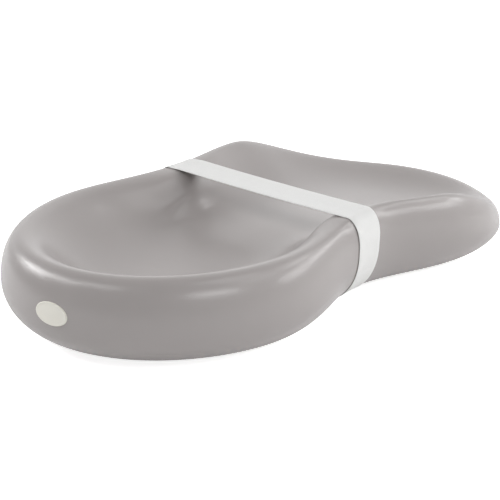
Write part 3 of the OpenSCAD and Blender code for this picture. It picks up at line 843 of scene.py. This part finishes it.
def thread_white():
    """Sewing thread: white, with the twist's fine stripes."""
    f = Finish("thread_white", Roughness=0.7, Sheen_Weight=0.2)
    f.set("Base Color", f.blend(f.noise(1800.0), *THREAD_TONES))
    return f.material


def make_badge(material):
    """Bare oval badge on the head end: rings of an ellipse, laid on the wall's curve by the
    badge's profile and closed behind."""
    radius, proud = BADGE_PROFILE.T
    round_it = np.linspace(0, 2 * np.pi, BADGE_SIDES, endpoint=False)
    across = radius[1:, None] * BADGE_L / 2 * np.cos(round_it)
    rise = radius[1:, None] * BADGE_H / 2 * np.sin(round_it)
    step = 1e-3
    one = np.array(1.0)
    t0 = BADGE_TURN * one
    middle = wall_point(t0, BADGE_RISE * one)
    per_turn = np.linalg.norm(outline(t0 + step) - outline(t0 - step)) / (2 * step)

    def on_wall(s, c, up):
        """Points a height over the wall, at distances along it and up it from the middle."""
        turn, z = BADGE_TURN + s / per_turn, middle[2] + c
        du = wall_point(turn + step, wall_rise(turn + step, z)) - wall_point(turn, wall_rise(turn, z))
        dv = (wall_point(turn, wall_rise(turn, z + BADGE_SPAN))
              - wall_point(turn, wall_rise(turn, z - BADGE_SPAN)))
        return wall_point(turn, wall_rise(turn, z)) + up[..., None] * unit(np.cross(du, dv))

    rings = on_wall(across, rise, proud[1:, None] + 0 * across)
    centre = on_wall(0 * one, 0 * one, proud[0] * one)
    count = len(round_it)
    points = np.concatenate([centre[None], rings.reshape(-1, 3), middle[None]])
    row = [1 + k * count + np.arange(count) for k in range(len(rings))]
    faces = np.concatenate([ring_faces(b, a) for a, b in zip(row, row[1:])]).tolist()
    faces += [[0, int(a), int(b)] for a, b in zip(row[0], np.roll(row[0], -1))]
    faces += [[len(points) - 1, int(b), int(a)] for a, b in zip(row[-1], np.roll(row[-1], -1))]
    return add_piece("badge_oval", points, faces, material, sharp=BADGE_SHARP)


def lay(piece, slot, *nodes):
    """Hides the nodes of the part's source that a piece stands for. The slot is not used."""
    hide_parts(*nodes)
    return piece


def build_object():
    """The pad, the strap's three runs, the two patches and their stitches, the badge, and the
    finishes of the pieces kept from the part's source."""
    skin, webbing = satin_skin(), webbing_white()
    # Tones of the patches' piles: the light one on the tufts, the other painted shade between them
    loop = patch_finish("loop_pile", scale=1500.0, depth=0.0004,
                        gap_shade=(0.62, 0.62, 0.61, 1), light=(0.84, 0.84, 0.83, 1))
    hook = patch_finish("hook_pile", scale=1100.0, depth=0.0005,
                        gap_shade=(0.50, 0.50, 0.50, 1), light=(0.80, 0.80, 0.79, 1))

    pad = lay(make_pad_skin(skin), "skin", "outer_skin", "foam_core")
    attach(pad, "pad")

    near = np.concatenate([foot_rows(), wall_rows(WEBBING_OFF, loose=1.0),
                           flap_rows(FOLD_HALF, -FOLD_HALF + TAB_LAP)], 1)
    band, length = strip_piece("webbing_band", near, WEBBING_T, webbing)
    lay(band, "webbing", "strap_near", "strap_flap")
    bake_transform(band)

    tab, length = strip_piece("webbing_tab", tab_rows(), WEBBING_T, webbing, side=1)
    lay(tab, "webbing", "strap_tab")
    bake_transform(tab)

    far = np.concatenate([foot_rows(), wall_rows(WEBBING_OFF, top=PATCH_TOP, side=1)], 1)
    end, length = strip_piece("webbing_far", far, WEBBING_T, webbing, side=1)
    lay(end, "webbing", "strap_far")
    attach(end, "pad")

    for name, off, finish, node_name, body in (
            ("loop_pile", LOOP_OFF, loop, "loop_patch", "pad"),
            ("hook_pile", HOOK_OFF, hook, "hook_patch", "tab")):
        rows = wall_rows(off, PATCH_LOW, PATCH_TOP, side=1)
        patch, length = strip_piece(name, rows, PATCH_T, finish, side=1, trim=PATCH_TRIM)
        lay(patch, "patch", node_name)
        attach(patch, body)

    thread = thread_white()
    for name, off, face, body in (("loop_stitches", LOOP_OFF + PATCH_T, 1, "pad"),
                                  ("hook_stitches", HOOK_OFF, -1, "tab"),
                                  ("tab_stitches", TAB_OFF + WEBBING_T, 1, "tab")):
        sewn = stitch_box(name, off, face, thread)
        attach(sewn, body)

    badge = lay(make_badge(badge_cream()), "badge", "badge")
    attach(badge, "pad")

    rubber, zinc, birch = base_rubber(), zinc_plate(), birch_board()
    for name, finish in {"base_panel": rubber, "insert_board": birch, "tee_nuts": zinc,
                         "anchor_plate_near": zinc, "anchor_plate_far": zinc,
                         "anchor_screws": zinc}.items():
        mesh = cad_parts[name].data
        mesh.materials.clear()
        mesh.materials.append(finish)


# Camera: its azimuth and elevation seen from the pad, in degrees, its lens and sensor in
# millimetres, the shift of its framing, and its distance and the height that it looks at, in metres
VIEW_AZIMUTH, VIEW_ELEVATION = -48.204, 19.699
LENS, SENSOR = 103.8, 36.0
SHIFT_X, SHIFT_Y = -0.0319, -0.0372
CAMERA_DISTANCE, LOOK_Z = 2.0, 0.060
# Surround's sides: azimuth from the camera's, in degrees, and level
SURROUND = {"right": (90, 0.68), "front": (0, 0.32), "back": (180, 1.19)}
# Floor: half its size, its glow on the pad and its glow as the camera sees it
FLOOR_HALF, FLOOR_GLOW, FLOOR_SEEN = 20000.0, 0.15, 0.8
# Soft boxes: azimuth and elevation seen from the pad, in degrees, width and height in metres, and
# power in watts
SOFT_BOXES = {
    "left_box": (-150, 29, 1.0, 0.5, 16.5),
    "left_low": (-160, 22, 1.0, 0.5, 4.5),
    "left_fill": (-128, 38, 1.0, 0.5, 9.0),
    "front_left_fill": (-100, 48, 1.0, 0.5, 6.0),
    "front_right_fill": (-20, 34, 1.0, 0.5, 9.5),
    "near_fill": (18, 48, 1.0, 0.5, 3.0),
    "near_high": (15, 66, 1.2, 0.8, 5.6),
    "right_box": (38, 26, 1.0, 0.5, 9.4),
    "right_fill": (65, 28, 1.0, 0.5, 7.4),
    "right_high": (65, 46, 1.0, 0.5, 5.4),
}
BOX_DISTANCE = 2.4


def direction(azimuth, elevation):
    """Unit vector towards an azimuth, 0 being -Y and 90 being +X, and an elevation."""
    a, e = math.radians(azimuth), math.radians(elevation)
    return Vector((math.sin(a) * math.cos(e), -math.cos(a) * math.cos(e), math.sin(e)))


def look_back(name, data, middle, back, distance):
    """A camera or a light at a distance from a place in a direction, facing the place."""
    placed = bpy.data.objects.new(name, data)
    bpy.context.scene.collection.objects.link(placed)
    placed.location = middle + back * distance
    placed.rotation_mode = "QUATERNION"
    placed.rotation_quaternion = (-back).to_track_quat("-Z", "Y")
    return placed


def make_camera():
    """Camera at the photograph's angle, shifted to its framing."""
    data = bpy.data.cameras.new("view")
    data.lens, data.sensor_width = LENS, SENSOR
    data.shift_x, data.shift_y = SHIFT_X, SHIFT_Y
    back = direction(VIEW_AZIMUTH, VIEW_ELEVATION)
    bpy.context.scene.camera = look_back("view", data, Vector((0, 0, LOOK_Z)), back, CAMERA_DISTANCE)


def soft_box(name, azimuth, elevation, width, height, power):
    """A rectangular soft box that faces the middle of the pad."""
    data = bpy.data.lights.new(name, "AREA")
    data.shape, data.size, data.size_y, data.energy = "RECTANGLE", width, height, power
    look_back(name, data, Vector(), direction(azimuth, elevation), BOX_DISTANCE)


def make_surround():
    """White surround, brighter towards some sides: the sum, over the sides, of the side's level
    times the square of the direction's share towards it."""
    world = bpy.data.worlds.new("studio")
    world.use_nodes = True
    tree = world.node_tree
    view = node(tree, "ShaderNodeTexCoord").outputs["Generated"]
    total = 0.0
    for turn, level in SURROUND.values():
        side = direction(VIEW_AZIMUTH + turn, 0)
        share = node(tree, "ShaderNodeVectorMath", {0: view, 1: side}, operation="DOT_PRODUCT")
        ahead = node(tree, "ShaderNodeMath", {0: share.outputs["Value"], 1: 0.0}, operation="MAXIMUM")
        square = node(tree, "ShaderNodeMath", {0: ahead.outputs[0], 1: 2.0}, operation="POWER")
        total = node(tree, "ShaderNodeMath", {0: square.outputs[0], 1: level, 2: total},
                     operation="MULTIPLY_ADD").outputs[0]
    background = tree.nodes["Background"]
    feed(tree, background.inputs["Color"], (1, 1, 1, 1))
    feed(tree, background.inputs["Strength"], total)
    bpy.context.scene.world = world


def pale_floor():
    """Pale matt floor that glows a little on the pad, and more as the camera sees it."""
    f = Finish("pale_floor", Roughness=0.8)
    f.drift((0.86, 0.86, 0.86, 1), scale=1.5, amount=0.02)
    f.set("Emission Color", (1, 1, 1, 1))
    seen = node(f.tree, "ShaderNodeLightPath").outputs["Is Camera Ray"]
    f.set("Emission Strength", f.span(seen, low=FLOOR_GLOW, high=FLOOR_SEEN))
    return f.material


def make_studio():
    """Plain pale floor, a white surround and soft boxes."""
    grid = np.linspace(-FLOOR_HALF, FLOOR_HALF, 3)
    x, y = np.meshgrid(grid, grid, indexing="ij")
    points = np.stack([x, y, 0 * x], -1).reshape(-1, 3)
    corner = np.array([0, 1, 3, 4])[:, None]
    faces = (corner + np.array([0, 3, 4, 1])).tolist()
    add_piece("studio_floor", points, faces, pale_floor())

    make_surround()
    bpy.context.scene.view_settings.view_transform = "Standard"
    for name, box in SOFT_BOXES.items():
        soft_box(name, *box)


build_object()
make_camera()
make_studio()
